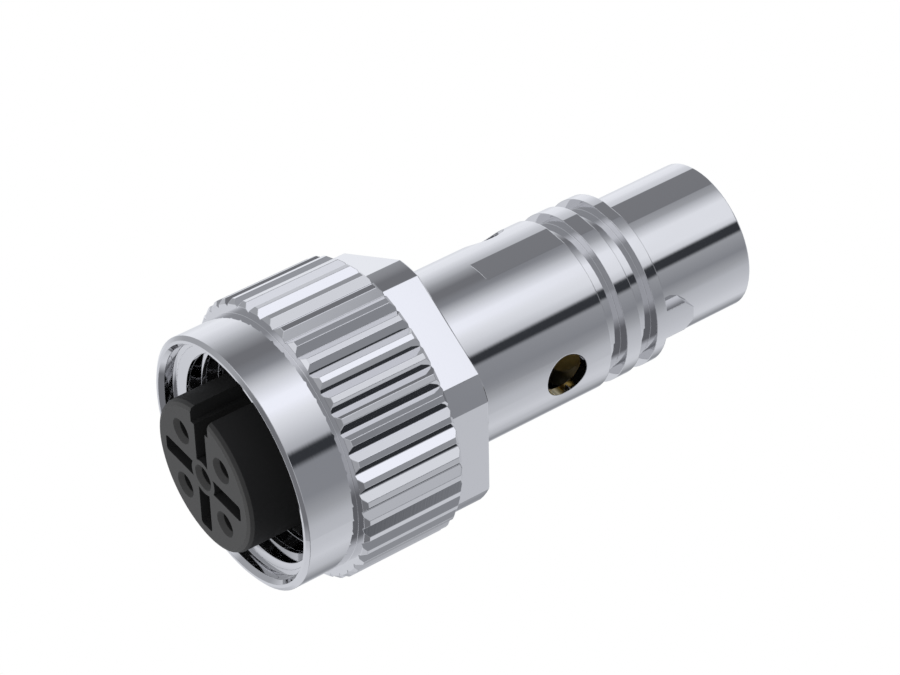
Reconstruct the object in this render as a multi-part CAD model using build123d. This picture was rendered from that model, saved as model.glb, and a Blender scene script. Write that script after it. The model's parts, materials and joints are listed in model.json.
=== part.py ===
from build123d import *
import math
import os

os.makedirs("parts", exist_ok=True)

# A shielded five-pole circular sensor connector of the M12 size, with socket contacts.
# Sizes are in millimetres. Every piece is drawn round local Z, with the mating face at 0 and the
# cable end at the far end, and the coding keyway on the -Y side. Angles round the axis are in
# degrees from the keyway towards local +X. stood_up() then turns the part onto its cable end.

# Shared sizes
FACE_PROUD = 1.52  # the carrier's mating face stands this far ahead of the nut's rim
OVERALL_LENGTH = 30.9  # mating face to cable end
EDGE_BREAK = 0.08  # small chamfer on outer edges
CUT_MARGIN = 1.0  # how far a cutting shape runs past the face it opens

# Coupling nut, stations measured from its front rim
NUT_LENGTH = 10.98
COLLAR_RADIUS = 6.8
COLLAR_LENGTH = 2.92
RIM_SLOPE_WIDTH = 0.22  # outer chamfer of the rim, across
RIM_SLOPE_LENGTH = 0.15  # and along the axis
KNURL_RADIUS = 7.5
KNURL_LENGTH = 5.8
KNURL_CHAMFER = 0.22  # at both ends of the ridges
KNURL_GROOVES = 42
KNURL_DEPTH = 0.35
RIDGE_TOP_HALF_ANGLE = 1.2  # half the width of a ridge's flat top, seen from the axis
HEX_ACROSS_FLATS = 12.9
HEX_CORNER_RADIUS = 7.06  # the hexagon's corners are turned down to this

# The nut's bore
RIM_BORE_RADIUS = 6.43
COUNTERBORE_RADIUS = 6.25
COUNTERBORE_DEPTH = 0.76
RIM_CHAMFER = 0.25  # length along the axis, from the rim's inner edge to the counterbore
SHOULDER_FALL = 0.09  # how much deeper the counterbore's floor lies where the thread starts
THREAD_MAJOR_RADIUS = 6.0  # M12 x 1 internal thread, bored to the bottom of its grooves
WEB_LENGTH = 1.5  # the inner web that bears on the sleeve, between flange and retaining ring

# Shield sleeve
SLEEVE_RADIUS = 4.675
GROOVE_FLOOR_RADIUS = 4.125
TAIL_RADIUS = 4.0
TAIL_BORE_RADIUS = 3.25
FLANGE_RADIUS = 5.3
FLANGE_FRONT = 8.2
FLANGE_LENGTH = 1.6
MAIN_BORE_END = 20.5
BORE_STEP_LENGTH = 0.6  # cone between the main bore and the tail bore
LAND_END = 21.38  # where the barrel ends and the first groove starts
GROOVE_WIDTH = 1.0
RIB_1_WIDTH = 0.92
RIB_2_WIDTH = 0.66

# Features cut into the sleeve or left on it
BARREL_FLAT_START = 16.6
BARREL_FLAT_DEPTH = 0.057
TAIL_FLAT_DEPTH = 0.078
SIDE_HOLE_DIAMETER = 2.45
SIDE_HOLES = ((90.0, 18.6), (-45.0, 19.2))  # angle round the axis, station along it
LUG_WIDTH = 1.8
LUG_LENGTH = 1.68
LUG_CORNER = 0.48  # cut off each of the lug's rear corners

# Contact carrier
CARRIER_RADIUS = 4.1
CARRIER_LENGTH = 17.9
CARRIER_EDGE_ROUND = 0.28
CARRIER_FIT = 0.02  # radial gap between carrier and sleeve
KEYWAY_WIDTH = 1.5
KEYWAY_FLOOR = 3.15  # distance of the keyway's floor from the axis
KEYWAY_END = 7.0
SLOT_WIDTH = 0.95
SLOT_OUTER_REACH = 3.3
SLOT_DEPTH = 6.5
SLOT_CORNER_ROUND = 0.18
BOSS_RADIUS = 1.0  # centre boss that ends the four slots

# Contact positions and the chambers that hold them
CONTACT_CIRCLE_RADIUS = 2.5
CONTACT_ANGLES = (45.0, 135.0, 225.0, 315.0)
LEAD_IN_RADIUS = 0.71
LEAD_IN_DEPTH = 0.27
PIN_HOLE_RADIUS = 0.52
PIN_HOLE_END = 0.9
CHAMBER_GAP = 0.03  # radial gap round a contact in its chamber

# Socket contact
CONTACT_FRONT_GAP = 0.1  # the contact's mouth sits this far behind the pin hole
CONTACT_END = 20.6
CONTACT_RADIUS = 0.72
SOCKET_BORE_RADIUS = 0.5
SOCKET_BORE_DEPTH = 6.0
FINGER_SLIT_WIDTH = 0.16
FINGER_SLIT_DEPTH = 4.2
CUP_BORE_RADIUS = 0.55
CUP_DEPTH = 2.4
CUP_SCOOP_LENGTH = 1.7

# Sealing ring
SEAL_THICKNESS = 1.0
SEAL_SIDES = 8  # the round section is drawn with this many sides
SEAL_GAP = 0.02  # gap to the carrier and to the flange

# Retaining ring, a C-shaped spring ring that sits behind the nut's web
RING_THICKNESS = 0.5
RING_WIDTH = 0.65
RING_OPENING = 24.0  # angle of the gap in the C
RING_GROOVE_RADIUS = 4.45  # floor of its groove in the sleeve
RING_GAP = 0.03  # clearance of the ring in its groove
RING_HEADROOM = 0.15  # radial gap between the ring and the nut's recess

# Running clearances between the nut and the sleeve
NUT_RADIAL_CLEARANCE = 0.06
NUT_AXIAL_CLEARANCE = 0.1

# Stations that follow from the sizes above
NUT_FRONT = FACE_PROUD
NUT_REAR = NUT_FRONT + NUT_LENGTH
KNURL_FRONT = NUT_FRONT + COLLAR_LENGTH
KNURL_REAR = KNURL_FRONT + KNURL_LENGTH
FLANGE_REAR = FLANGE_FRONT + FLANGE_LENGTH
WEB_FRONT = FLANGE_REAR + NUT_AXIAL_CLEARANCE
WEB_REAR = WEB_FRONT + WEB_LENGTH
RING_FRONT = WEB_REAR + NUT_AXIAL_CLEARANCE
RING_REAR = RING_FRONT + RING_THICKNESS
RING_INNER_RADIUS = RING_GROOVE_RADIUS + RING_GAP
RING_OUTER_RADIUS = RING_INNER_RADIUS + RING_WIDTH
RIB_1_FRONT = LAND_END + GROOVE_WIDTH
RIB_1_REAR = RIB_1_FRONT + RIB_1_WIDTH
RIB_2_FRONT = RIB_1_REAR + GROOVE_WIDTH
RIB_2_REAR = RIB_2_FRONT + RIB_2_WIDTH
CONTACT_FRONT = PIN_HOLE_END + CONTACT_FRONT_GAP


def turned(points):
    """Solid turned round Z from a closed outline of (radius, station) points."""
    return revolve(Plane.XZ * make_face(Polyline(*points, close=True)), Axis.Z)


def around(angle, radius):
    """Local (x, y) of a point at an angle from the keyway, at a radius."""
    turn = math.radians(angle)
    return radius * math.sin(turn), -radius * math.cos(turn)


def disc(radius, start, end):
    """Plain cylinder between two stations."""
    return Pos(0, 0, start) * extrude(Circle(radius), end - start)


def nut_collar():
    """Plain front collar, with a chamfer that leaves only a narrow flat rim."""
    return turned([
        (0, NUT_FRONT),
        (COLLAR_RADIUS - RIM_SLOPE_WIDTH, NUT_FRONT),
        (COLLAR_RADIUS, NUT_FRONT + RIM_SLOPE_LENGTH),
        (COLLAR_RADIUS, KNURL_FRONT),
        (0, KNURL_FRONT),
    ])


def knurl_outline():
    """Closed outline of the V-grooved grip: a flat ridge top, then the bottom of a groove."""
    pitch = 360.0 / KNURL_GROOVES
    points = []
    for index in range(KNURL_GROOVES):
        ridge = (index + 0.5) * pitch
        points.append(around(ridge - RIDGE_TOP_HALF_ANGLE, KNURL_RADIUS))
        points.append(around(ridge + RIDGE_TOP_HALF_ANGLE, KNURL_RADIUS))
        points.append(around((index + 1) * pitch, KNURL_RADIUS - KNURL_DEPTH))
    return make_face(Polyline(*points, close=True))


def nut_knurl():
    """Grooved grip between two upright walls, with one flat chamfer at each end of every ridge."""
    half_pitch = 180.0 / KNURL_GROOVES
    blank = extrude(
        RegularPolygon(KNURL_RADIUS, KNURL_GROOVES, major_radius=False, rotation=half_pitch),
        KNURL_LENGTH)
    rims = blank.edges().group_by(Axis.Z)
    blank = chamfer(rims[0] + rims[-1], KNURL_CHAMFER)
    return Pos(0, 0, KNURL_FRONT) * (extrude(knurl_outline(), KNURL_LENGTH) & blank)


def nut_hexagon():
    """Spanner hexagon with a corner on the keyway side, its corners turned down."""
    outline = RegularPolygon(HEX_ACROSS_FLATS / 2, 6, major_radius=False, rotation=30)
    hexagon = Pos(0, 0, KNURL_REAR) * extrude(outline, NUT_REAR - KNURL_REAR)
    hexagon = hexagon & disc(HEX_CORNER_RADIUS, KNURL_REAR, NUT_REAR)
    return chamfer(hexagon.edges().group_by(Axis.Z)[-1], EDGE_BREAK)


def nut_bore():
    """Everything bored out of the nut, from the rim chamfer to the recess for the retaining ring."""
    shoulder = NUT_FRONT + COUNTERBORE_DEPTH
    web_radius = SLEEVE_RADIUS + NUT_RADIAL_CLEARANCE
    recess_radius = RING_OUTER_RADIUS + RING_HEADROOM
    return turned([
        (0, NUT_FRONT - CUT_MARGIN),
        (RIM_BORE_RADIUS, NUT_FRONT - CUT_MARGIN),
        (RIM_BORE_RADIUS, NUT_FRONT),
        (COUNTERBORE_RADIUS, NUT_FRONT + RIM_CHAMFER),
        (COUNTERBORE_RADIUS, shoulder),
        (THREAD_MAJOR_RADIUS, shoulder + SHOULDER_FALL),
        (THREAD_MAJOR_RADIUS, WEB_FRONT),
        (web_radius, WEB_FRONT),
        (web_radius, WEB_REAR),
        (recess_radius, WEB_REAR),
        (recess_radius, NUT_REAR + CUT_MARGIN),
        (0, NUT_REAR + CUT_MARGIN),
    ])


def coupling_nut():
    return nut_collar() + nut_knurl() + nut_hexagon() - nut_bore()


def sleeve_blank():
    """Outside of the sleeve: flange, barrel, two ribs and the tail."""
    return turned([
        (0, FLANGE_FRONT),
        (FLANGE_RADIUS - EDGE_BREAK, FLANGE_FRONT),
        (FLANGE_RADIUS, FLANGE_FRONT + EDGE_BREAK),
        (FLANGE_RADIUS, FLANGE_REAR),
        (SLEEVE_RADIUS, FLANGE_REAR),
        (SLEEVE_RADIUS, RING_FRONT - RING_GAP),
        (RING_GROOVE_RADIUS, RING_FRONT - RING_GAP),
        (RING_GROOVE_RADIUS, RING_REAR + RING_GAP),
        (SLEEVE_RADIUS, RING_REAR + RING_GAP),
        (SLEEVE_RADIUS, LAND_END),
        (GROOVE_FLOOR_RADIUS, LAND_END),
        (GROOVE_FLOOR_RADIUS, RIB_1_FRONT),
        (SLEEVE_RADIUS, RIB_1_FRONT),
        (SLEEVE_RADIUS, RIB_1_REAR),
        (GROOVE_FLOOR_RADIUS, RIB_1_REAR),
        (GROOVE_FLOOR_RADIUS, RIB_2_FRONT),
        (SLEEVE_RADIUS, RIB_2_FRONT),
        (SLEEVE_RADIUS, RIB_2_REAR),
        (TAIL_RADIUS, RIB_2_REAR),
        (TAIL_RADIUS, OVERALL_LENGTH - EDGE_BREAK),
        (TAIL_RADIUS - EDGE_BREAK, OVERALL_LENGTH),
        (0, OVERALL_LENGTH),
    ])


def sleeve_bore():
    """Bore for the carrier, a short cone, then the narrower bore for the cable."""
    return turned([
        (0, FLANGE_FRONT - CUT_MARGIN),
        (CARRIER_RADIUS + CARRIER_FIT, FLANGE_FRONT - CUT_MARGIN),
        (CARRIER_RADIUS + CARRIER_FIT, MAIN_BORE_END - BORE_STEP_LENGTH),
        (TAIL_BORE_RADIUS, MAIN_BORE_END),
        (TAIL_BORE_RADIUS, OVERALL_LENGTH + CUT_MARGIN),
        (0, OVERALL_LENGTH + CUT_MARGIN),
    ])


def top_cut(start, end, depth_radius):
    """Block that cuts a flat on the keyway side, down to a distance from the axis."""
    height = SLEEVE_RADIUS
    centre = Pos(0, -(depth_radius + height / 2), (start + end) / 2)
    return centre * Box(2 * SLEEVE_RADIUS, height, end - start)


def side_hole(angle, station):
    """Drill through one wall of the sleeve, square to the axis."""
    x, y = around(angle, 1.0)
    drill = Plane(origin=(0, 0, station), z_dir=(x, y, 0)) * Circle(SIDE_HOLE_DIAMETER / 2)
    return extrude(drill, SLEEVE_RADIUS + CUT_MARGIN)


def tail_lug():
    """Block behind the last rib that stops the moulding from turning, its rear corners cut off."""
    half = LUG_WIDTH / 2
    rear = RIB_2_REAR + LUG_LENGTH
    outline = make_face(Polyline(
        (-half, RIB_2_REAR),
        (half, RIB_2_REAR),
        (half, rear - LUG_CORNER),
        (half - LUG_CORNER, rear),
        (LUG_CORNER - half, rear),
        (-half, rear - LUG_CORNER),
        close=True,
    ))
    foot = Plane(origin=(TAIL_BORE_RADIUS, 0, 0), x_dir=(0, 1, 0), z_dir=(1, 0, 0))
    return extrude(foot * outline, SLEEVE_RADIUS) & disc(SLEEVE_RADIUS, RIB_2_REAR, rear)


def shield_sleeve():
    body = sleeve_blank()
    body -= top_cut(BARREL_FLAT_START, RIB_2_REAR, SLEEVE_RADIUS - BARREL_FLAT_DEPTH)
    body -= top_cut(RIB_2_REAR, OVERALL_LENGTH + CUT_MARGIN, TAIL_RADIUS - TAIL_FLAT_DEPTH)
    body += tail_lug()
    body -= sleeve_bore()
    for angle, station in SIDE_HOLES:
        body -= side_hole(angle, station)
    return body


def carrier_slots():
    """Cross of four coring slots, ended by the centre boss."""
    arm = RectangleRounded(2 * SLOT_OUTER_REACH, SLOT_WIDTH, SLOT_CORNER_ROUND)
    cross = arm + Rot(0, 0, 90) * arm - Circle(BOSS_RADIUS)
    return Pos(0, 0, -CUT_MARGIN) * extrude(cross, SLOT_DEPTH + CUT_MARGIN)


def carrier_keyway():
    """Coding keyway along the outside of the plug."""
    height = CARRIER_RADIUS
    block = Box(KEYWAY_WIDTH, height, KEYWAY_END + CUT_MARGIN)
    return Pos(0, -(KEYWAY_FLOOR + height / 2), (KEYWAY_END - CUT_MARGIN) / 2) * block


def contact_chamber():
    """Lead-in cone, pin hole and the chamber behind it, open to the rear."""
    chamber_radius = CONTACT_RADIUS + CHAMBER_GAP
    return turned([
        (0, -CUT_MARGIN),
        (LEAD_IN_RADIUS, -CUT_MARGIN),
        (LEAD_IN_RADIUS, 0),
        (PIN_HOLE_RADIUS, LEAD_IN_DEPTH),
        (PIN_HOLE_RADIUS, PIN_HOLE_END),
        (chamber_radius, PIN_HOLE_END),
        (chamber_radius, CARRIER_LENGTH + CUT_MARGIN),
        (0, CARRIER_LENGTH + CUT_MARGIN),
    ])


def contact_places():
    """Turn and position of each contact: four on the circle, then the one in the centre."""
    places = []
    for angle in CONTACT_ANGLES:
        x, y = around(angle, CONTACT_CIRCLE_RADIUS)
        places.append(Pos(x, y, 0) * Rot(0, 0, angle))
    places.append(Pos(0, 0, 0))
    return places


def carrier_blank():
    """Plain plug whose front edge is eased by a steep and a shallow chamfer."""
    halfway = CARRIER_EDGE_ROUND * (1 - math.cos(math.radians(45)))
    return turned([
        (0, 0),
        (CARRIER_RADIUS - CARRIER_EDGE_ROUND, 0),
        (CARRIER_RADIUS - halfway, halfway),
        (CARRIER_RADIUS, CARRIER_EDGE_ROUND),
        (CARRIER_RADIUS, CARRIER_LENGTH),
        (0, CARRIER_LENGTH),
    ])


def contact_carrier():
    body = carrier_blank()
    body -= carrier_slots()
    body -= carrier_keyway()
    for place_on_face in contact_places():
        body -= place_on_face * contact_chamber()
    return body


def finger_slit():
    """Slit across the socket's mouth that leaves two spring fingers."""
    depth = FINGER_SLIT_DEPTH + CUT_MARGIN
    middle = Pos(0, 0, CONTACT_FRONT - CUT_MARGIN + depth / 2)
    return middle * Box(FINGER_SLIT_WIDTH, 4 * CONTACT_RADIUS, depth)


def socket_contact():
    """Turned contact: a slit socket in front, and a solder cup scooped open on its outward side."""
    body = disc(CONTACT_RADIUS, CONTACT_FRONT, CONTACT_END)
    body -= disc(SOCKET_BORE_RADIUS, CONTACT_FRONT - CUT_MARGIN, CONTACT_FRONT + SOCKET_BORE_DEPTH)
    body -= disc(CUP_BORE_RADIUS, CONTACT_END - CUP_DEPTH, CONTACT_END + CUT_MARGIN)
    scoop = Box(4 * CONTACT_RADIUS, 2 * CONTACT_RADIUS, 2 * CUP_SCOOP_LENGTH)
    return body - finger_slit() - Pos(0, -CONTACT_RADIUS, CONTACT_END) * scoop


def sealing_ring():
    """Rubber ring round the foot of the carrier, in front of the sleeve's flange."""
    section = SEAL_THICKNESS / 2
    middle_radius = CARRIER_RADIUS + SEAL_GAP + section
    middle_station = FLANGE_FRONT - SEAL_GAP - section
    outline = RegularPolygon(section, SEAL_SIDES, major_radius=False, rotation=180 / SEAL_SIDES)
    return revolve(Plane.XZ * Pos(middle_radius, middle_station) * outline, Axis.Z)


def retaining_ring():
    """C-shaped spring ring that snaps into the sleeve's groove and keeps the nut from sliding back."""
    ring = disc(RING_OUTER_RADIUS, RING_FRONT, RING_REAR) - disc(RING_INNER_RADIUS, RING_FRONT, RING_REAR)
    opening = 2 * RING_OUTER_RADIUS * math.sin(math.radians(RING_OPENING / 2))
    gap = Box(opening, RING_OUTER_RADIUS, RING_THICKNESS)
    return ring - Pos(0, -RING_OUTER_RADIUS, (RING_FRONT + RING_REAR) / 2) * gap


def stood_up(solid):
    """Stand the part on its cable end, with the axis on world Z and the keyway towards world -Y."""
    return Pos(0, 0, OVERALL_LENGTH) * Rot(0, 180, 0) * solid


pieces = {
    "coupling_nut": coupling_nut(),
    "shield_sleeve": shield_sleeve(),
    "contact_carrier": contact_carrier(),
    "sealing_ring": sealing_ring(),
    "retaining_ring": retaining_ring(),
}
for number, place_on_face in enumerate(contact_places(), start=1):
    pieces[f"contact_{number}"] = place_on_face * socket_contact()

for name, piece in pieces.items():
    export_step(stood_up(piece), f"parts/{name}.step")
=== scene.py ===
# %% [markdown]
# # A circular sensor connector
# The object is a small shielded connector, about 31 mm long: a black plug with five socket holes, a bright
# coupling nut with a grooved grip and a spanner hexagon, and a turned sleeve that takes the moulded cable.
# Its solids come from the CAD model. This lesson gives them their finishes, winds the fine thread inside the
# nut, and sets up the light that makes bare metal readable.

import json
import math

import bpy
from mathutils import Matrix, Vector


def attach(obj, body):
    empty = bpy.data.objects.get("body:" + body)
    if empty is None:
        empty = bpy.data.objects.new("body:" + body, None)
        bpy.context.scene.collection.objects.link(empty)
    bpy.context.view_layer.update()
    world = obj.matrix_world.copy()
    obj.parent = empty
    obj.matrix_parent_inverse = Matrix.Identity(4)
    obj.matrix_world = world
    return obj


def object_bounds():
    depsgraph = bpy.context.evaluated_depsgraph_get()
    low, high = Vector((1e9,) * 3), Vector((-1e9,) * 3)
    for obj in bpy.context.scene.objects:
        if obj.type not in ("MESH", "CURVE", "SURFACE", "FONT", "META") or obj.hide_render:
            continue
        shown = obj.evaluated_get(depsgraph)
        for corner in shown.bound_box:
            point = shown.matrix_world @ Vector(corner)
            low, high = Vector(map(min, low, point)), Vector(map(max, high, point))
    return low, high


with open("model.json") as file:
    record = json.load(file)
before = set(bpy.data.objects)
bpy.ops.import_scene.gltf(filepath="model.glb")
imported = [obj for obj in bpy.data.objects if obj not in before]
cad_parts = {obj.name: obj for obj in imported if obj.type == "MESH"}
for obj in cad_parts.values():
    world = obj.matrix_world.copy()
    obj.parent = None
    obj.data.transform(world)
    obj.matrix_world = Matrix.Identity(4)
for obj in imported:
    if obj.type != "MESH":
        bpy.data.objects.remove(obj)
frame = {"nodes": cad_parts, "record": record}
cad_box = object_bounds()
scene = bpy.context.scene
MM = 0.001  # a millimetre in Blender's metres
print("nodes:", sorted(frame["nodes"]))
print("box in mm:", [[round(v / MM, 2) for v in corner] for corner in cad_box])

# %% [markdown]
# ## One axis for everything
# A round connector rolls when it is laid down, so the model stands on its cable end. The photograph shows it
# lying. To keep both in step, every place below is given the way a turner would give it: how far to the side
# with the drilled hole, how far along the axis from the mating face, and how far towards the coding keyway.
# The record states the mating face's centre and direction, so the axis is read from there.

# %% The connector's own directions
mating_end = next(m for m in frame["record"]["mounts"] if m["name"] == "mating_end")
FACE_CENTRE = Vector(mating_end["pos_m"])
ALONG = -Vector(mating_end["axis"]).normalized()
HOLE_SIDE = Vector((-1.0, 0.0, 0.0))
KEY_SIDE = HOLE_SIDE.cross(ALONG)


def direction(side, along, key):
    """A vector in the model's frame from its three parts along the connector's own directions."""
    return side * HOLE_SIDE + along * ALONG + key * KEY_SIDE


def place(side, along, key):
    """A point in the model's frame, from millimetres off the centre of the mating face."""
    return FACE_CENTRE + MM * direction(side, along, key)


print("along:", tuple(ALONG), "keyway towards:", tuple(KEY_SIDE))

# %% [markdown]
# ## Colours
# Colours are picked as sRGB hex values, the way a colour chart gives them, while Cycles works in linear
# light. The sRGB curve is close to a power of 2.2 with a short straight foot, and one function undoes it.

# %% From sRGB to linear
def linear(hex_colour):
    """Linear RGBA of an sRGB hex colour."""
    channels = [int(hex_colour[i:i + 2], 16) / 255 for i in (1, 3, 5)]
    return [c / 12.92 if c <= 0.04045 else ((c + 0.055) / 1.055) ** 2.4 for c in channels] + [1.0]


print("a mid grey in linear light:", [round(c, 3) for c in linear("#808080")])

# %% [markdown]
# ## Nodes
# A material is a small network of nodes. One function adds a node of any kind: it sets what is named, wires
# what is another node's output, and fills a colour ramp where stops are given. A material then reads as a
# short list of its layers, from the place on the surface down to the shader.

# %% Adding a node
def add(tree, kind, inputs=None, stops=(), **settings):
    """A node of a kind: its settings, its inputs as values or wired sockets, and a ramp's stops."""
    node = tree.nodes.new(kind)
    for name, value in settings.items():
        setattr(node, name, value)
    for key, value in (inputs or {}).items():
        if isinstance(value, bpy.types.NodeSocket):
            tree.links.new(value, node.inputs[key])
        else:
            node.inputs[key].default_value = value
    for index, (position, hex_colour) in enumerate(stops):
        elements = node.color_ramp.elements
        element = elements[index] if index < len(elements) else elements.new(position)
        element.position = position
        element.color = linear(hex_colour)
    return node


def new_material(name):
    """An empty material: itself, its tree and its output node."""
    material = bpy.data.materials.new(name)
    material.use_nodes = True
    material.node_tree.nodes.clear()
    return material, material.node_tree, add(material.node_tree, "ShaderNodeOutputMaterial")


print("kinds of shader node to choose from:", sum(kind.startswith("ShaderNode") for kind in dir(bpy.types)))

# %% [markdown]
# ## Turning rings
# The nut and the sleeve are brass bars turned on a lathe. The tool leaves fine rings, which stay under the
# plating and draw each highlight out a little. The shader's anisotropy could draw it out as well, but it
# shows no rings. A noise along one number does: the sum of the place along the axis and the distance from it
# gives rings on barrels, end faces and cones alike. A real feed of 0.05 mm is finer than a pixel, so the
# rings are drawn 0.12 mm apart. They are a fifth of a micron deep, hardly more than the plating lets
# through. Inside a bore they would only speckle what it mirrors, so they end there.

# %% Rings from the lathe
RING_SPACING = 0.12 * MM
RING_DEPTH = 0.0002 * MM


def turning_rings(tree, point, bore_radius):
    """Height of the lathe's rings at a point, from 0 to 1, and whether it is outside the bore."""
    arm = add(tree, "ShaderNodeVectorMath", {0: point, 1: FACE_CENTRE}, operation="SUBTRACT").outputs[0]
    along = add(tree, "ShaderNodeVectorMath", {0: arm, 1: ALONG}, operation="DOT_PRODUCT").outputs["Value"]
    off_axis = add(tree, "ShaderNodeVectorMath", {0: arm, 1: ALONG}, operation="CROSS_PRODUCT").outputs[0]
    radius = add(tree, "ShaderNodeVectorMath", {0: off_axis}, operation="LENGTH").outputs["Value"]
    ring = add(tree, "ShaderNodeMath", {0: along, 1: radius}, operation="ADD").outputs[0]
    rings = add(tree, "ShaderNodeTexNoise", {"W": ring, "Scale": 1 / RING_SPACING, "Detail": 1.0},
                noise_dimensions="1D")
    outside = add(tree, "ShaderNodeMath", {0: radius, 1: bore_radius}, operation="GREATER_THAN").outputs[0]
    height = add(tree, "ShaderNodeMath", {0: rings.outputs[0], 1: outside}, operation="MULTIPLY").outputs[0]
    return height, outside


print("rings per millimetre:", round(MM / RING_SPACING, 1))

# %% [markdown]
# ## Bright nickel plating
# The turned brass is plated with bright nickel: a smooth, nearly colourless metal that mirrors the studio
# crisply. Its roughness is close to a polished metal's, and strays a little from place to place as the bath
# laid it down. The sleeve's narrow rear bore gets little of the bath: its plating is satin and so thin that
# the brass warms it. Plating also rounds every edge by a few hundredths of a millimetre, and the eye reads
# the thin bright line that this makes. The Bevel node gives that line without more faces.

# %% Nickel
NICKEL_COLOUR = "#D6D6D8"
NICKEL_ROUGHNESS = 0.055
NICKEL_STRAY = 0.2  # share of the roughness that it strays either way
PLATING_PATCH = 2.5 * MM  # size of the patches it strays over
NOISE_LOW, NOISE_HIGH = 0.3, 0.7  # a noise texture hardly leaves this range
EDGE_ROUNDING = 0.05 * MM


def bright_nickel(name, bore_radius, bore_colour=None, bore_roughness=None):
    """Bright nickel, ringed outside a bore. The bore may have a colour and a roughness of its own."""
    material, tree, output = new_material(name)
    point = add(tree, "ShaderNodeTexCoord").outputs["Object"]
    rounded = add(tree, "ShaderNodeBevel", {"Radius": EDGE_ROUNDING}, samples=8)
    height, outside = turning_rings(tree, point, bore_radius)
    bump = add(tree, "ShaderNodeBump", {"Height": height, "Distance": RING_DEPTH, "Strength": 1.0,
                                        "Normal": rounded.outputs[0]})
    patches = add(tree, "ShaderNodeTexNoise", {"Vector": point, "Scale": 1 / PLATING_PATCH, "Detail": 3.0})
    sheen = add(tree, "ShaderNodeMapRange", {0: patches.outputs[0], 1: NOISE_LOW, 2: NOISE_HIGH,
                                             3: NICKEL_ROUGHNESS * (1 - NICKEL_STRAY),
                                             4: NICKEL_ROUGHNESS * (1 + NICKEL_STRAY)}).outputs[0]
    colour = linear(NICKEL_COLOUR)
    if bore_colour:
        sheen = add(tree, "ShaderNodeMix", {"Factor": outside, "A": bore_roughness, "B": sheen}).outputs[0]
        colour = add(tree, "ShaderNodeMix", {"Factor": outside, "A": linear(bore_colour), "B": colour},
                     data_type="RGBA").outputs["Result"]
    shader = add(tree, "ShaderNodeBsdfPrincipled", {
        "Base Color": colour, "Metallic": 1.0, "Roughness": sheen, "Normal": bump.outputs[0]})
    tree.links.new(shader.outputs[0], output.inputs["Surface"])
    return material


nut_nickel = bright_nickel("bright_nickel_nut", bore_radius=6.45 * MM)
sleeve_nickel = bright_nickel("bright_nickel_sleeve", bore_radius=3.9 * MM,
                              bore_colour="#D2C8A8", bore_roughness=0.4)
print("made:", nut_nickel.name, sleeve_nickel.name)

# %% [markdown]
# ## Black moulded plastic
# The plug is injection moulded in a black glass-filled plastic. Its mould was spark eroded, which leaves an
# even, very fine grain. The grain scatters what little gloss the plastic has, so the face that the lamp
# lights is an even dark grey and the sides stay nearly black. Smooth plastic would mirror the bright tent, so
# the gloss is about a quarter of that, while the IOR stays at 1.5, the default and a plastic's own. The grain
# is about 0.06 mm across, drawn at 0.1 mm so that it can show. Modelled in relief it would take millions of
# faces, so it is a bump.

# %% Moulded finish
def moulded(name, tones, roughness, gloss, grain, depth):
    """A moulded material: two close tones, and a fine grain that dulls its gloss."""
    material, tree, output = new_material(name)
    point = add(tree, "ShaderNodeTexCoord").outputs["Object"]
    speckle = add(tree, "ShaderNodeTexNoise", {"Vector": point, "Scale": 1 / grain, "Detail": 2.0})
    rounded = add(tree, "ShaderNodeBevel", {"Radius": EDGE_ROUNDING}, samples=6)
    bump = add(tree, "ShaderNodeBump", {"Height": speckle.outputs[0], "Distance": depth, "Strength": 1.0,
                                        "Normal": rounded.outputs[0]})
    tone = add(tree, "ShaderNodeMix", {"Factor": speckle.outputs[0], "A": linear(tones[0]),
                                       "B": linear(tones[1])}, data_type="RGBA")
    shader = add(tree, "ShaderNodeBsdfPrincipled", {
        "Base Color": tone.outputs["Result"], "Roughness": roughness, "Specular IOR Level": gloss,
        "Normal": bump.outputs[0]})
    tree.links.new(shader.outputs[0], output.inputs["Surface"])
    return material


carrier_plastic = moulded("black_glass_filled_plastic", tones=("#1B1B1B", "#202020"),
                          roughness=0.6, gloss=0.12, grain=0.1 * MM, depth=0.003 * MM)
print("made:", carrier_plastic.name)

# %% [markdown]
# ## Moulded rubber
# The sealing ring at the foot of the plug is moulded rubber, which is black as well, but softer to the eye
# than the plastic: its gloss is wider and weaker. It is made the same way, so the same function serves.

# %% Rubber
seal_rubber = moulded("black_rubber", tones=("#0C0C0C", "#121212"),
                      roughness=0.7, gloss=0.1, grain=0.2 * MM, depth=0.002 * MM)
print("made:", seal_rubber.name)

# %% [markdown]
# ## Gold and spring steel
# The contacts are turned from a copper alloy and plated with a thin layer of gold, a warm and smooth metal.
# The retaining ring is stamped from spring steel, greyer and rougher than nickel. Both sit deep inside and
# show only through openings, so a colour and a roughness that strays a little are enough for them.

# %% Gold and steel
INNER_STRAY = 0.3  # share of the roughness that it strays either way at most


def inner_metal(name, hex_colour, roughness, patch):
    """A bare metal of the pieces inside, whose roughness strays over patches of a size."""
    material, tree, output = new_material(name)
    point = add(tree, "ShaderNodeTexCoord").outputs["Object"]
    patches = add(tree, "ShaderNodeTexNoise", {"Vector": point, "Scale": 1 / patch, "Detail": 3.0})
    sheen = add(tree, "ShaderNodeMapRange", {0: patches.outputs[0], 3: roughness * (1 - INNER_STRAY),
                                             4: roughness * (1 + INNER_STRAY)})
    shader = add(tree, "ShaderNodeBsdfPrincipled", {
        "Base Color": linear(hex_colour), "Metallic": 1.0, "Roughness": sheen.outputs[0]})
    tree.links.new(shader.outputs[0], output.inputs["Surface"])
    return material


contact_gold = inner_metal("gold_plating", "#E6C26B", roughness=0.3, patch=0.3 * MM)
ring_steel = inner_metal("spring_steel", "#A9A9AB", roughness=0.3, patch=0.2 * MM)
print("made:", contact_gold.name, ring_steel.name)

# %% [markdown]
# ## Dressing the solids
# Each solid of the model keeps its shape and gets its finish. The five contacts share one.

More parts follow.
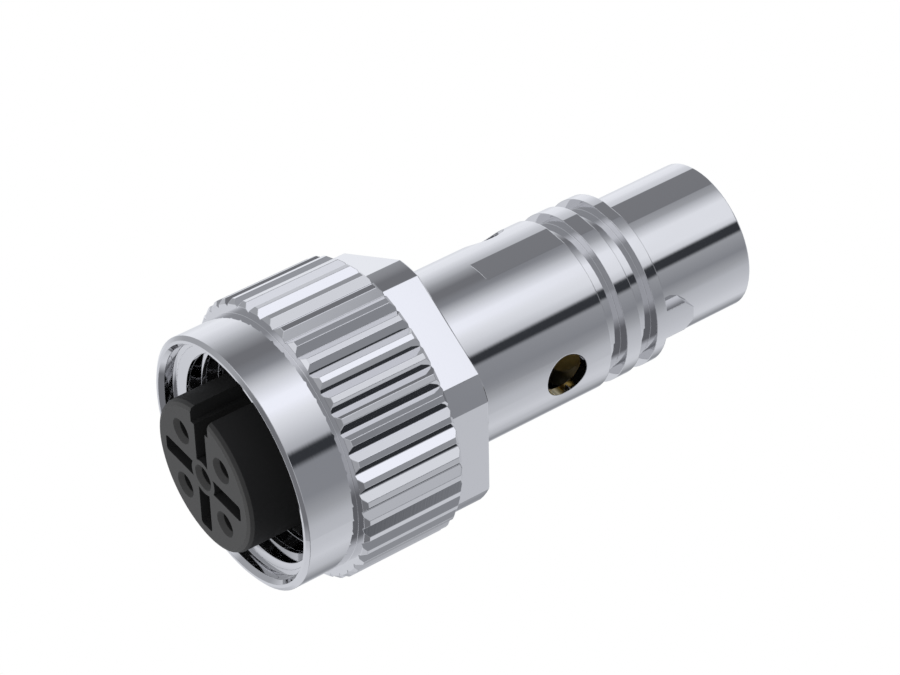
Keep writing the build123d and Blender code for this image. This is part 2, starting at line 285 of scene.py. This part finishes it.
# %% Finishes
finishes = {
    "coupling_nut": nut_nickel,
    "shield_sleeve": sleeve_nickel,
    "contact_carrier": carrier_plastic,
    "sealing_ring": seal_rubber,
    "retaining_ring": ring_steel,
}
for name, node in frame["nodes"].items():
    node.data.materials.clear()
    node.data.materials.append(finishes.get(name, contact_gold))
    print(name, "gets", node.data.materials[0].name, "faces:", len(node.data.polygons))

# %% [markdown]
# ## The thread's section
# The solid nut is bored to the bottom of its thread grooves. The thread is an M12 x 1: sixty degrees between
# its flanks, one millimetre from crest to crest, and a crest a quarter of that wide. What is left to make is
# the ridge between two grooves. It starts at the nearly flat shoulder behind the counterbore, which cuts it
# off, so the ridge is lower where its crest would stand in front of the shoulder, and its front corners are
# held back to it.

# %% Section of the ridge
PITCH = 1.0
ROOT_RADIUS = 6.0
FLANK_TILT = math.tan(math.radians(30))
HALF_FOOT = PITCH * 7 / 16  # the groove's floor leaves seven eighths of the pitch to the ridge
HALF_CREST = PITCH / 8
RIDGE_HEIGHT = (HALF_FOOT - HALF_CREST) / FLANK_TILT
SHOULDER_STATION = 2.37  # where the shoulder meets the thread's root
SHOULDER_SLOPE = 0.36  # how fast the shoulder deepens towards the axis
BURIED = 0.03  # how far the ridge's foot goes into the wall


def shoulder_at(radius):
    """Station of the shoulder at a distance from the axis."""
    return SHOULDER_STATION + SHOULDER_SLOPE * (ROOT_RADIUS - radius)


def ridge_section(middle):
    """Corners of the ridge as (radius, station): the foot, the crest and the foot again."""
    room = (middle + HALF_FOOT - SHOULDER_STATION) / (FLANK_TILT + SHOULDER_SLOPE)
    height = max(0.0, min(RIDGE_HEIGHT, room))
    wall, crest = ROOT_RADIUS + BURIED, ROOT_RADIUS - height
    half_top = HALF_FOOT - height * FLANK_TILT
    corners = [(wall, -HALF_FOOT), (ROOT_RADIUS, -HALF_FOOT), (crest, -half_top),
               (crest, half_top), (ROOT_RADIUS, HALF_FOOT), (wall, HALF_FOOT)]
    return [(radius, max(middle + offset, shoulder_at(radius))) for radius, offset in corners]


print("ridge height:", round(RIDGE_HEIGHT, 3), "mm, bore over the crests:",
      round(2 * (ROOT_RADIUS - RIDGE_HEIGHT), 2), "mm")

# %% [markdown]
# ## The thread itself
# The ridge is the section carried round the axis and one pitch forward on each turn. A Screw modifier could
# do that for one fixed section, but this one grows at its start, so the rings of corners are worked out one
# by one and joined with quads. The sides are shaded smooth and the corners kept sharp, as a tool cuts them.

# %% Winding the ridge
CREST_AT_KEYWAY = 2.835  # station of the crest where it passes the keyway's side
FULL_TURNS = 6
STEPS_PER_TURN = 144
SHARP_CORNER = math.radians(20)


def thread_ridge():
    """The thread's ridge as one closed mesh, wound from the shoulder into the nut."""
    middle_at_start = SHOULDER_STATION - HALF_FOOT
    first = math.ceil((middle_at_start - CREST_AT_KEYWAY) / PITCH * STEPS_PER_TURN)
    last = FULL_TURNS * STEPS_PER_TURN
    verts, faces = [], []
    for step in range(first, last + 1):
        angle = 2 * math.pi * step / STEPS_PER_TURN
        for radius, station in ridge_section(CREST_AT_KEYWAY + PITCH * step / STEPS_PER_TURN):
            verts.append(place(radius * math.sin(angle), station, radius * math.cos(angle)))
    corners = len(ridge_section(0.0))
    for start in range(0, len(verts) - corners, corners):
        for corner in range(corners):
            after = (corner + 1) % corners
            faces.append((start + corner, start + after,
                          start + corners + after, start + corners + corner))
    faces.append(tuple(range(corners - 1, -1, -1)))
    faces.append(tuple(range(len(verts) - corners, len(verts))))
    mesh = bpy.data.meshes.new("nut_thread")
    mesh.from_pydata(verts, [], faces)
    mesh.shade_smooth()
    mesh.set_sharp_from_angle(angle=SHARP_CORNER)
    mesh.materials.append(nut_nickel)
    thread = bpy.data.objects.new("nut_thread", mesh)
    scene.collection.objects.link(thread)
    return thread


nut_thread = thread_ridge()
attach(nut_thread, "nut")
print("thread faces:", len(nut_thread.data.polygons))

# %% [markdown]
# ## Floor
# The connector stands on a light table: a sheet of opal glass, lit from below, so that no shadow greys the
# white round it. Only the camera sees it: in a mirror finish it would cover half of the light tent. It lies a
# hair below the cable end, so that the two flat faces don't flicker through each other.

# %% Light table
FLOOR_WIDTH = 2000 * MM
FLOOR_GAP = 0.01 * MM
opal, tree, output = new_material("opal_glass")
glow = add(tree, "ShaderNodeEmission", {"Color": linear("#FFFFFF"), "Strength": 1.0})
tree.links.new(glow.outputs[0], output.inputs["Surface"])
bpy.ops.mesh.primitive_plane_add(size=FLOOR_WIDTH, location=(0.0, 0.0, cad_box[0][2] - FLOOR_GAP))
floor = bpy.context.object
floor.name = "floor"
floor.data.materials.append(opal)
floor.visible_glossy = False
floor.visible_diffuse = False
print("floor at", round(floor.location.z / MM, 3), "mm")

# %% [markdown]
# ## Cloths and cards
# Polished metal has no look of its own: it shows what stands round it. Product photographers build a tent of
# white cloth and hang grey and black cards in it, so that a barrel gets a bright top, one dark line and a
# soft grey foot. Eight shades are enough. Three plans go once round the connector's axis, in degrees from the
# keyway's side towards the hole's side, and a shade runs softly into the next. The front plan is what stands
# ahead of the mating face. The rear plan stands towards the cable end, where the barrels mirror it: white
# over them at 10 to 18 degrees, dark behind them, grey below. The end plan hangs further back and shows on
# the sleeve's tail, with the bright cloth a little later and duller. From the keyway's side backwards, the
# rear and the end plan are the same.

# %% The tent's cloths
WHITE, PALE, LIGHT, SILVER = "#ECEEF6", "#DADCE1", "#C4C6CB", "#AEB0B5"
MEDIUM, GREY, DARK, BLACK = "#97999D", "#7F8186", "#6C6D71", "#303236"
FRONT_PLAN = (
    (-180, LIGHT), (-125, LIGHT), (-105, MEDIUM), (-50, MEDIUM), (-34, PALE), (-8, PALE), (6, MEDIUM),
    (57, MEDIUM), (62, SILVER), (98, SILVER), (116, DARK), (162, DARK), (175, LIGHT), (180, LIGHT),
)
BACK_CLOTHS = (
    (-180, SILVER), (-172, MEDIUM), (-164, GREY), (-157, GREY), (-145, SILVER), (-135, LIGHT), (-120, LIGHT),
    (-105, PALE), (-88, PALE), (-73, LIGHT), (-57, MEDIUM), (-42, DARK), (-32, DARK), (-20, GREY),
)
REAR_PLAN = BACK_CLOTHS + (
    (-6, LIGHT), (10, WHITE), (18, WHITE), (28, PALE), (40, LIGHT), (50, SILVER), (68, GREY),
    (96, GREY), (112, MEDIUM), (124, SILVER), (160, LIGHT), (180, SILVER),
)
END_PLAN = BACK_CLOTHS + (
    (-10, MEDIUM), (-5, SILVER), (2, LIGHT), (10, PALE), (38, PALE), (48, LIGHT), (60, MEDIUM),
    (90, GREY), (104, MEDIUM), (118, SILVER), (160, LIGHT), (172, LIGHT), (180, SILVER),
)
print("stops in the plans:", len(FRONT_PLAN), len(REAR_PLAN), len(END_PLAN))

# %% [markdown]
# ## Where a ray looks
# Lit sheets could stand round the connector as in a studio. A World does the same without objects, because
# its light depends only on the direction looked in. Two numbers give that direction the way the plans do: its
# bearing round the axis, and its lean, from -1 straight out of the mating face to 1 straight past the cable
# end. They come from dot products with the connector's own directions and one arc tangent.

# %% Bearing and lean
def looked_in(tree):
    """Bearing round the axis in degrees, and lean towards the cable end, of the direction looked in."""
    looking = add(tree, "ShaderNodeTexCoord").outputs["Generated"]
    side, lean, key = (
        add(tree, "ShaderNodeVectorMath", {0: looking, 1: axis}, operation="DOT_PRODUCT").outputs["Value"]
        for axis in (HOLE_SIDE, ALONG, KEY_SIDE))
    angle = add(tree, "ShaderNodeMath", {0: side, 1: key}, operation="ARCTAN2").outputs[0]
    bearing = add(tree, "ShaderNodeMath", {0: angle}, operation="DEGREES").outputs[0]
    return bearing, lean


print("bearing 0 is towards", tuple(KEY_SIDE), "and bearing 90 towards", tuple(HOLE_SIDE))

# %% [markdown]
# ## Hanging the cloths
# The bearing picks a shade from each plan, and the lean blends the end plan into the rear plan. The front
# plan joins further down, because the black card hangs in the rear half only.

# %% Cloths
END_HANGS = (0.42, 0.49)  # leans over which the end plan takes over from the rear plan


def cloths(tree, bearing, lean):
    """Shade ahead of the mating face, shade behind it, and how far that is the end plan's, from 0 to 1."""
    turn = add(tree, "ShaderNodeMapRange", {0: bearing, 1: -180.0, 2: 180.0}).outputs[0]
    front, rear, end = (
        add(tree, "ShaderNodeValToRGB", {0: turn},
            stops=[((degrees + 180) / 360, shade) for degrees, shade in plan]).outputs[0]
        for plan in (FRONT_PLAN, REAR_PLAN, END_PLAN))
    endward = add(tree, "ShaderNodeMapRange", {0: lean, 1: END_HANGS[0], 2: END_HANGS[1]}).outputs[0]
    behind = add(tree, "ShaderNodeMix", {"Factor": endward, "A": rear, "B": end}, data_type="RGBA")
    return front, behind.outputs["Result"], endward


print("the end plan takes over", [round(math.degrees(math.asin(lean))) for lean in END_HANGS],
      "degrees behind the level")

# %% [markdown]
# ## The black card
# One narrow black card gives every barrel its dark line. It hangs a little askew, so its bearing falls as
# the lean grows, and it is wider at the tent's far end. Its soft edges keep the line from looking printed.

# %% Card
CARD_MIDDLE = 83.0  # bearing of the card where the lean is nothing
CARD_ASKEW = 54.0  # how far its bearing falls over a whole step of lean
CARD_HALF_WIDTH = 6.0
CARD_SOFT_EDGE = 3.0
CARD_FLARE = 1.7  # how much wider it hangs on either side where the end plan hangs


def black_card(tree, bearing, lean, endward):
    """How much of the black card covers the cloth, from 0 to 1."""
    askew = add(tree, "ShaderNodeMath", {0: lean, 1: CARD_ASKEW, 2: bearing},
                operation="MULTIPLY_ADD").outputs[0]
    off_middle = add(tree, "ShaderNodeMath", {0: askew, 1: CARD_MIDDLE}, operation="SUBTRACT").outputs[0]
    away = add(tree, "ShaderNodeMath", {0: off_middle}, operation="ABSOLUTE").outputs[0]
    distance = add(tree, "ShaderNodeMath", {0: endward, 1: -CARD_FLARE, 2: away},
                   operation="MULTIPLY_ADD").outputs[0]
    return add(tree, "ShaderNodeMapRange", {0: distance, 1: CARD_HALF_WIDTH - CARD_SOFT_EDGE,
                                            2: CARD_HALF_WIDTH + CARD_SOFT_EDGE, 3: 1.0, 4: 0.0},
               interpolation_type="SMOOTHSTEP").outputs[0]


print("the black card is", 2 * CARD_HALF_WIDTH, "degrees wide, and", 2 * (CARD_HALF_WIDTH + CARD_FLARE),
      "where the end plan hangs")

# %% [markdown]
# ## The tent as a world
# The card lies over the cloths behind, those blend into the front plan where the tent is level, and a dark
# cloth closes the tent close to the axis. Nickel gives back about two thirds of what it sees, so the tent is
# that much brighter than the metal should look. The camera itself sees plain white.

# %% Light tent
REAR_HANGS = (-0.2, 0.2)  # leans over which the rear half takes over from the front plan
TENT_CLOSES = (0.85, 0.97)  # leans either way over which the dark end cloth closes the tent
NICKEL_REFLECTANCE = linear(NICKEL_COLOUR)[0]


def light_tent():
    """The world that the metal mirrors, and the plain white that the camera sees."""
    world = bpy.data.worlds.new("light_tent")
    world.use_nodes = True
    tree = world.node_tree
    tree.nodes.clear()
    output = add(tree, "ShaderNodeOutputWorld")
    bearing, lean = looked_in(tree)
    front, behind, endward = cloths(tree, bearing, lean)
    card = black_card(tree, bearing, lean, endward)
    carded = add(tree, "ShaderNodeMix", {"Factor": card, "A": behind, "B": linear(BLACK)}, data_type="RGBA")
    rearward = add(tree, "ShaderNodeMapRange", {0: lean, 1: REAR_HANGS[0], 2: REAR_HANGS[1]}).outputs[0]
    round_axis = add(tree, "ShaderNodeMix", {"Factor": rearward, "A": front, "B": carded.outputs["Result"]},
                     data_type="RGBA")
    steep = add(tree, "ShaderNodeMath", {0: lean}, operation="ABSOLUTE").outputs[0]
    closed = add(tree, "ShaderNodeMapRange", {0: steep, 1: TENT_CLOSES[0], 2: TENT_CLOSES[1]}).outputs[0]
    cloth = add(tree, "ShaderNodeMix", {"Factor": closed, "A": round_axis.outputs["Result"],
                                        "B": linear(DARK)}, data_type="RGBA")
    tent = add(tree, "ShaderNodeBackground", {"Color": cloth.outputs["Result"],
                                              "Strength": 1 / NICKEL_REFLECTANCE})
    white = add(tree, "ShaderNodeBackground", {"Color": linear("#FFFFFF"), "Strength": 1.0})
    rays = add(tree, "ShaderNodeLightPath")
    seen = add(tree, "ShaderNodeMixShader", {0: rays.outputs["Is Camera Ray"], 1: tent.outputs[0],
                                             2: white.outputs[0]})
    tree.links.new(seen.outputs[0], output.inputs["Surface"])
    return world


scene.world = light_tent()
scene.view_settings.view_transform = "Standard"
print("nickel gives back", round(NICKEL_REFLECTANCE, 3), "of the tent's light")

# %% [markdown]
# ## A lamp for the plastic
# The tent is too dim for black plastic. A photographer adds one lamp over the mating face, with polarising
# sheets on the lamp and on the lens: they take its glare off the metal, and leave the light that the matt
# plastic scatters. A Sun lamp that glossy rays don't see does the same. It shines straight along the axis, so
# the face is lit and the plug's sides and sockets stay dark. Its width softens the shadows in the slots.

# %% Polarised lamp
LAMP_STRENGTH = 14.5
LAMP_WIDTH = math.radians(30)
lamp_data = bpy.data.lights.new("polarised_lamp", "SUN")
lamp_data.energy = LAMP_STRENGTH
lamp_data.angle = LAMP_WIDTH
lamp = bpy.data.objects.new("polarised_lamp", lamp_data)
lamp.rotation_mode = "QUATERNION"
lamp.rotation_quaternion = ALONG.to_track_quat("-Z", "Y")
lamp.visible_glossy = False
scene.collection.objects.link(lamp)
print("lamp shines along", tuple(round(v, 3) for v in ALONG))

# %% [markdown]
# ## Camera
# The lens and the place come from a fit to the photograph: circles of known size on the nut and the sleeve,
# and the silhouettes of their barrels, fix where the camera stood. It was 18 cm away with a long lens, ahead
# of the mating face, and midway between the keyway's side and the drilled hole's side. The camera's own axes
# are given in the same three directions as everything else.

# %% Camera from the fit
FOCAL_LENGTH = 149.21  # in millimetres, like the sensor's width
SENSOR_WIDTH = 36.0
NEAR_LIMIT = 10 * MM  # nothing nearer to the lens than this is drawn
camera_data = bpy.data.cameras.new("camera")
camera_data.lens = FOCAL_LENGTH
camera_data.sensor_width = SENSOR_WIDTH
camera_data.clip_start = NEAR_LIMIT
camera = bpy.data.objects.new("camera", camera_data)
right = direction(0.58449, 0.81121, -0.01777)
upward = direction(-0.52390, 0.39403, 0.75517)
backward = direction(0.61961, -0.43208, 0.65529)
standpoint = place(115.464, -65.736, 123.41)
turned = Matrix((right, upward, backward)).transposed().to_4x4()
camera.matrix_world = Matrix.Translation(standpoint) @ turned
scene.collection.objects.link(camera)
scene.camera = camera
print("camera at", [round(v / MM, 1) for v in standpoint], "mm")

# %% Finish
bpy.context.view_layer.update()
